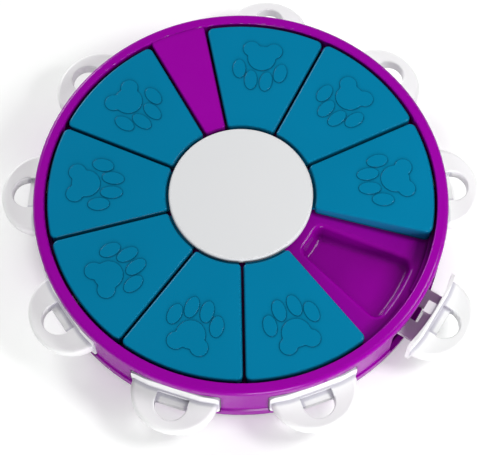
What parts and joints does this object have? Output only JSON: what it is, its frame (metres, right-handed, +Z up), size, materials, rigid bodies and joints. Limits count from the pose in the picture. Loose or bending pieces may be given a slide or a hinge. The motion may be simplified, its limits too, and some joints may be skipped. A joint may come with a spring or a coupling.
{
  "type": "dog puzzle feeder toy",
  "caption": "Round sliding-block treat puzzle for dogs: paw-marked blocks slide round a ring of treat wells, and D-ring handles in the side wall lock them",
  "frame": {"origin": "on the floor under the middle of the toy", "axes": "+Z up along the ring's axis; the fixed divider stands at 110 degrees from +X towards +Y, and the open well at 328 degrees"},
  "size_m": [0.3066, 0.3003, 0.0442],
  "materials": {
    "purple_plastic": "semi-gloss moulded",
    "blue_plastic": "satin moulded",
    "white_plastic": "satin moulded",
    "cap_plastic": "satin moulded",
    "screw_steel": "zinc plated",
    "foot_rubber": "matt"
  },
  "bodies": {
    "case": {"top_tray": "purple_plastic", "base_shell": "purple_plastic", "centre_cap": "cap_plastic", "cap_screws": "screw_steel", "case_screws": "screw_steel", "rubber_feet": "foot_rubber"},
    "block_1": {"block_1": "blue_plastic"},
    "block_2": {"block_2": "blue_plastic"},
    "block_3": {"block_3": "blue_plastic"},
    "block_4": {"block_4": "blue_plastic"},
    "block_5": {"block_5": "blue_plastic"},
    "block_6": {"block_6": "blue_plastic"},
    "block_7": {"block_7": "blue_plastic"},
    "block_8": {"block_8": "blue_plastic"},
    "handle_1": {"handle_1": "white_plastic"},
    "handle_2": {"handle_2": "white_plastic"},
    "handle_3": {"handle_3": "white_plastic"},
    "handle_4": {"handle_4": "white_plastic"},
    "handle_5": {"handle_5": "white_plastic"},
    "handle_6": {"handle_6": "white_plastic"},
    "handle_7": {"handle_7": "white_plastic"},
    "handle_8": {"handle_8": "white_plastic"},
    "handle_9": {"handle_9": "white_plastic"}
  },
  "joints": [
    {"name": "block_1_turn", "type": "hinge", "parent": "case", "child": "block_1", "pos_m": [0, 0, 0], "axis": [0, 0, 1], "range_deg": [0, 38]},
    {"name": "block_2_turn", "type": "hinge", "parent": "case", "child": "block_2", "pos_m": [0, 0, 0], "axis": [0, 0, 1], "range_deg": [0, 38]},
    {"name": "block_3_turn", "type": "hinge", "parent": "case", "child": "block_3", "pos_m": [0, 0, 0], "axis": [0, 0, 1], "range_deg": [0, 38]},
    {"name": "block_4_turn", "type": "hinge", "parent": "case", "child": "block_4", "pos_m": [0, 0, 0], "axis": [0, 0, 1], "range_deg": [0, 38]},
    {"name": "block_5_turn", "type": "hinge", "parent": "case", "child": "block_5", "pos_m": [0, 0, 0], "axis": [0, 0, 1], "range_deg": [0, 38]},
    {"name": "block_6_turn", "type": "hinge", "parent": "case", "child": "block_6", "pos_m": [0, 0, 0], "axis": [0, 0, 1], "range_deg": [-38, 0]},
    {"name": "block_7_turn", "type": "hinge", "parent": "case", "child": "block_7", "pos_m": [0, 0, 0], "axis": [0, 0, 1], "range_deg": [-38, 0]},
    {"name": "block_8_turn", "type": "hinge", "parent": "case", "child": "block_8", "pos_m": [0, 0, 0], "axis": [0, 0, 1], "range_deg": [-38, 0]},
    {"name": "handle_1_slide", "type": "slide", "parent": "case", "child": "handle_1", "axis": [-0.7431, 0.6691, 0], "range_m": [-0.0026, 0.0136]},
    {"name": "handle_2_slide", "type": "slide", "parent": "case", "child": "handle_2", "axis": [-0.9976, 0.0698, 0], "range_m": [-0.0026, 0.0136]},
    {"name": "handle_3_slide", "type": "slide", "parent": "case", "child": "handle_3", "axis": [-0.829, -0.5592, 0], "range_m": [-0.0018, 0.0144]},
    {"name": "handle_4_slide", "type": "slide", "parent": "case", "child": "handle_4", "axis": [-0.309, -0.9511, 0], "range_m": [-0.0026, 0.0136]},
    {"name": "handle_5_slide", "type": "slide", "parent": "case", "child": "handle_5", "axis": [0.342, -0.9397, 0], "range_m": [-0.0026, 0.0136]},
    {"name": "handle_6_slide", "type": "slide", "parent": "case", "child": "handle_6", "axis": [0.848, -0.5299, 0], "range_m": [-0.0136, 0.0026]},
    {"name": "handle_7_slide", "type": "slide", "parent": "case", "child": "handle_7", "axis": [0.9945, 0.1045, 0], "range_m": [-0.0026, 0.0136]},
    {"name": "handle_8_slide", "type": "slide", "parent": "case", "child": "handle_8", "axis": [0.7193, 0.6947, 0], "range_m": [-0.0026, 0.0136]},
    {"name": "handle_9_slide", "type": "slide", "parent": "case", "child": "handle_9", "axis": [0.1392, 0.9903, 0], "range_m": [-0.0026, 0.0136]}
  ],
  "couplings": [
    {"joint": "block_2_turn", "follows": "block_1_turn", "ratio": 1},
    {"joint": "block_3_turn", "follows": "block_1_turn", "ratio": 1},
    {"joint": "block_4_turn", "follows": "block_1_turn", "ratio": 1},
    {"joint": "block_5_turn", "follows": "block_1_turn", "ratio": 1},
    {"joint": "block_6_turn", "follows": "block_8_turn", "ratio": 1},
    {"joint": "block_7_turn", "follows": "block_8_turn", "ratio": 1}
  ]
}
